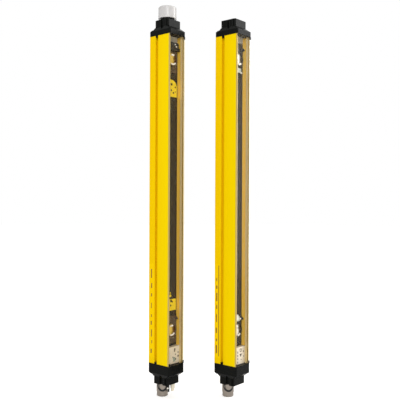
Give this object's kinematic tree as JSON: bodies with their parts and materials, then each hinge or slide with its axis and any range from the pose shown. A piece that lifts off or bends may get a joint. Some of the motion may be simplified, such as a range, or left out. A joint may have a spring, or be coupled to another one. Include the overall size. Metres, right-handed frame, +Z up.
{
  "type": "safety light curtain",
  "caption": "Upright safety light curtain: receiver and sender bars, each an extruded yellow profile with a clear front screen, black end caps and a connector below; signal lamp on one.",
  "frame": {"origin": "centre of the receiver's flat rear face, at mid-length", "axes": "+Z up along the bars, +Y out of the rear faces, so the windows look towards -Y"},
  "size_m": [0.1202, 0.1456, 0.7218],
  "materials": {
    "yellow_profile": "traffic-yellow powder coat, satin",
    "clear_screen": "clear polycarbonate",
    "gasket_rubber": "matt",
    "black_cap": "glass-filled nylon, fine grain",
    "screw_steel": "zinc plated",
    "carrier_black": "matt",
    "board_green": "solder resist",
    "module_black": "matt",
    "lens_clear": "clear moulded lens",
    "diode_dark": "dark tinted",
    "panel_ivory": "ivory, satin",
    "light_pipe": "smoked light pipe",
    "block_grey": "grey-beige foam",
    "connector_metal": "nickel-plated, dull",
    "insert_black": "matt",
    "pin_gold": "gold plated",
    "ribbon_grey": "flat cable",
    "lamp_white": "translucent opal",
    "plug_cream": "cream",
    "tag_yellow": "printed film, plain",
    "clip_pale": "pale grey-green"
  },
  "bodies": {
    "root": {"receiver_blanking_plug": "plug_cream", "receiver_bottom_cap_screws": "screw_steel", "receiver_bottom_end_cap": "black_cap", "receiver_bottom_gasket": "gasket_rubber", "receiver_connector_insert": "insert_black", "receiver_connector_pins": "pin_gold", "receiver_connector_seal": "gasket_rubber", "receiver_connector_shell": "connector_metal", "receiver_display_panel": "panel_ivory", "receiver_front_screen": "clear_screen", "receiver_housing_profile": "yellow_profile", "receiver_indicator_lights": "light_pipe", "receiver_lamp_base": "black_cap", "receiver_lamp_board": "board_green", "receiver_lamp_dome": "lamp_white", "receiver_lower_diode": "diode_dark", "receiver_lower_lens": "lens_clear", "receiver_lower_lens_holder": "module_black", "receiver_lower_module_tag": "tag_yellow", "receiver_main_circuit_board": "board_green", "receiver_module_carrier": "carrier_black", "receiver_ribbon_cable": "ribbon_grey", "receiver_top_cap_screws": "screw_steel", "receiver_top_end_block": "block_grey", "receiver_top_end_cap": "black_cap", "receiver_top_gasket": "gasket_rubber", "receiver_upper_diode": "diode_dark", "receiver_upper_lens": "lens_clear", "receiver_upper_lens_holder": "module_black", "receiver_upper_module_tag": "tag_yellow", "sender_blanking_cover": "black_cap", "sender_bottom_cap_screws": "screw_steel", "sender_bottom_end_cap": "black_cap", "sender_bottom_gasket": "gasket_rubber", "sender_connector_insert": "insert_black", "sender_connector_pins": "pin_gold", "sender_connector_seal": "gasket_rubber", "sender_connector_shell": "connector_metal", "sender_display_panel": "panel_ivory", "sender_front_screen": "clear_screen", "sender_housing_profile": "yellow_profile", "sender_indicator_lights": "light_pipe", "sender_lower_diode": "diode_dark", "sender_lower_lens": "lens_clear", "sender_lower_lens_holder": "module_black", "sender_lower_optic_clip": "clip_pale", "sender_main_circuit_board": "board_green", "sender_module_carrier": "carrier_black", "sender_ribbon_cable": "ribbon_grey", "sender_top_cap_screws": "screw_steel", "sender_top_end_block": "block_grey", "sender_top_end_cap": "black_cap", "sender_top_gasket": "gasket_rubber", "sender_upper_diode": "diode_dark", "sender_upper_lens": "lens_clear", "sender_upper_lens_holder": "module_black", "sender_upper_optic_clip": "clip_pale"}
  },
  "joints": []
}
